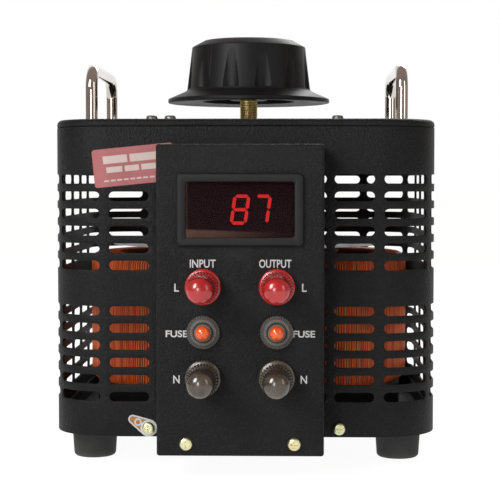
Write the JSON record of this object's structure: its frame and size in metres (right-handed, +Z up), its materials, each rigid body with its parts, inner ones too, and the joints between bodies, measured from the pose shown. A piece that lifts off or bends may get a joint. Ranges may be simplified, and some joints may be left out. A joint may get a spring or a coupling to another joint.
{
  "type": "variable autotransformer",
  "caption": "Bench variable autotransformer in a slotted black steel case, with a fluted knob on top, a voltage display, binding posts and breakers in front, and rod handles.",
  "frame": {"origin": "middle of the object's footprint, on the surface that its feet stand on", "axes": "+Z up along the shaft, -Y out of the front panel, +X to the right seen from the front"},
  "size_m": [0.232, 0.2954, 0.2649],
  "materials": {
    "powder_black": "fine textured powder coat",
    "moulded_black": "satin moulded phenolic",
    "bezel_black": "fine satin",
    "rubber_foot": "matt",
    "chrome_rod": "bright plated",
    "yellow_zinc": "yellow passivated",
    "steel_plain": "plain",
    "core_steel": "tape-wound laminations",
    "copper_enamel": "varnished enamelled wire",
    "phenolic": "laminated board",
    "brass_part": "turned",
    "disc_aluminium": "turned",
    "dial_aluminium": "printed",
    "carbon": "pressed carbon",
    "filter_red": "dark red tinted window",
    "segment_red": "lit",
    "post_red": "glossy moulded",
    "post_black": "glossy moulded",
    "button_orange": "glossy moulded",
    "breaker_grey": "moulded",
    "lead_red": "insulated wire"
  },
  "bodies": {
    "case": {"base_tray": "powder_black", "case_wrap": "powder_black", "top_cover": "powder_black", "front_panel": "powder_black", "foot_front_left": "rubber_foot", "foot_front_right": "rubber_foot", "foot_rear_left": "rubber_foot", "foot_rear_right": "rubber_foot", "foot_screws": "steel_plain", "cover_screws": "steel_plain", "clamp_bolts": "steel_plain", "wrap_screws": "yellow_zinc", "handle_nuts": "yellow_zinc", "panel_screws": "yellow_zinc", "handle_left": "chrome_rod", "handle_right": "chrome_rod", "dial_plate": "dial_aluminium", "clamp_ring": "phenolic", "stop_block": "phenolic", "post_insulators": "phenolic", "coil_core": "core_steel", "coil_winding": "copper_enamel", "lower_bush": "brass_part", "upper_bush": "brass_part", "post_studs": "brass_part", "post_nuts": "brass_part", "meter_bezel": "bezel_black", "meter_body": "bezel_black", "coil_seat": "bezel_black", "meter_window": "filter_red", "lit_segments": "segment_red", "input_line_base": "post_red", "output_line_base": "post_red", "input_neutral_base": "post_black", "output_neutral_base": "post_black", "input_breaker": "breaker_grey", "input_breaker_nut": "breaker_grey", "output_breaker": "breaker_grey", "output_breaker_nut": "breaker_grey", "inner_leads": "lead_red"},
    "rotor": {"knob": "moulded_black", "knob_set_screw": "steel_plain", "shaft": "brass_part", "stop_arm": "steel_plain", "brush_disc": "disc_aluminium", "brush_holder": "brass_part", "brush_spring": "steel_plain"},
    "brush": {"carbon_brush": "carbon"},
    "input_line_clamp": {"input_line_washer": "brass_part"},
    "input_line_thumb_cap": {"input_line_cap": "post_red"},
    "input_neutral_clamp": {"input_neutral_washer": "brass_part"},
    "input_neutral_thumb_cap": {"input_neutral_cap": "post_black"},
    "output_line_clamp": {"output_line_washer": "brass_part"},
    "output_line_thumb_cap": {"output_line_cap": "post_red"},
    "output_neutral_clamp": {"output_neutral_washer": "brass_part"},
    "output_neutral_thumb_cap": {"output_neutral_cap": "post_black"},
    "input_button": {"input_reset_button": "button_orange"},
    "output_button": {"output_reset_button": "button_orange"}
  },
  "joints": [
    {"name": "knob_turn", "type": "hinge", "parent": "case", "child": "rotor", "pos_m": [0, 0.0373, 0.24], "axis": [0, 0, -1], "range_deg": [-111, 209]},
    {"name": "brush_lift", "type": "slide", "parent": "rotor", "child": "brush", "axis": [0, 0, 1], "range_m": [0, 0.003], "stiffness_N_per_m": 500, "springref_m": -0.006, "deforming": ["brush_spring"]},
    {"name": "input_line_unscrew", "type": "slide", "parent": "case", "child": "input_line_clamp", "axis": [0, -1, 0], "range_m": [0, 0.004]},
    {"name": "input_line_cap_turn", "type": "hinge", "parent": "input_line_clamp", "child": "input_line_thumb_cap", "pos_m": [-0.0219, -0.1087, 0.1119], "axis": [0, -1, 0], "range_deg": [0, 1800]},
    {"name": "input_neutral_unscrew", "type": "slide", "parent": "case", "child": "input_neutral_clamp", "axis": [0, -1, 0], "range_m": [0, 0.004]},
    {"name": "input_neutral_cap_turn", "type": "hinge", "parent": "input_neutral_clamp", "child": "input_neutral_thumb_cap", "pos_m": [-0.0219, -0.1087, 0.0599], "axis": [0, -1, 0], "range_deg": [0, 1800]},
    {"name": "output_line_unscrew", "type": "slide", "parent": "case", "child": "output_line_clamp", "axis": [0, -1, 0], "range_m": [0, 0.004]},
    {"name": "output_line_cap_turn", "type": "hinge", "parent": "output_line_clamp", "child": "output_line_thumb_cap", "pos_m": [0.0201, -0.1087, 0.1119], "axis": [0, -1, 0], "range_deg": [0, 1800]},
    {"name": "output_neutral_unscrew", "type": "slide", "parent": "case", "child": "output_neutral_clamp", "axis": [0, -1, 0], "range_m": [0, 0.004]},
    {"name": "output_neutral_cap_turn", "type": "hinge", "parent": "output_neutral_clamp", "child": "output_neutral_thumb_cap", "pos_m": [0.0201, -0.1087, 0.0599], "axis": [0, -1, 0], "range_deg": [0, 1800]},
    {"name": "input_button_trip", "type": "slide", "parent": "case", "child": "input_button", "axis": [0, -1, 0], "range_m": [0, 0.003]},
    {"name": "output_button_trip", "type": "slide", "parent": "case", "child": "output_button", "axis": [0, -1, 0], "range_m": [0, 0.003]}
  ],
  "couplings": [
    {"joint": "input_line_cap_turn", "follows": "input_line_unscrew", "rad_per_m": 7854},
    {"joint": "input_neutral_cap_turn", "follows": "input_neutral_unscrew", "rad_per_m": 7854},
    {"joint": "output_line_cap_turn", "follows": "output_line_unscrew", "rad_per_m": 7854},
    {"joint": "output_neutral_cap_turn", "follows": "output_neutral_unscrew", "rad_per_m": 7854}
  ]
}
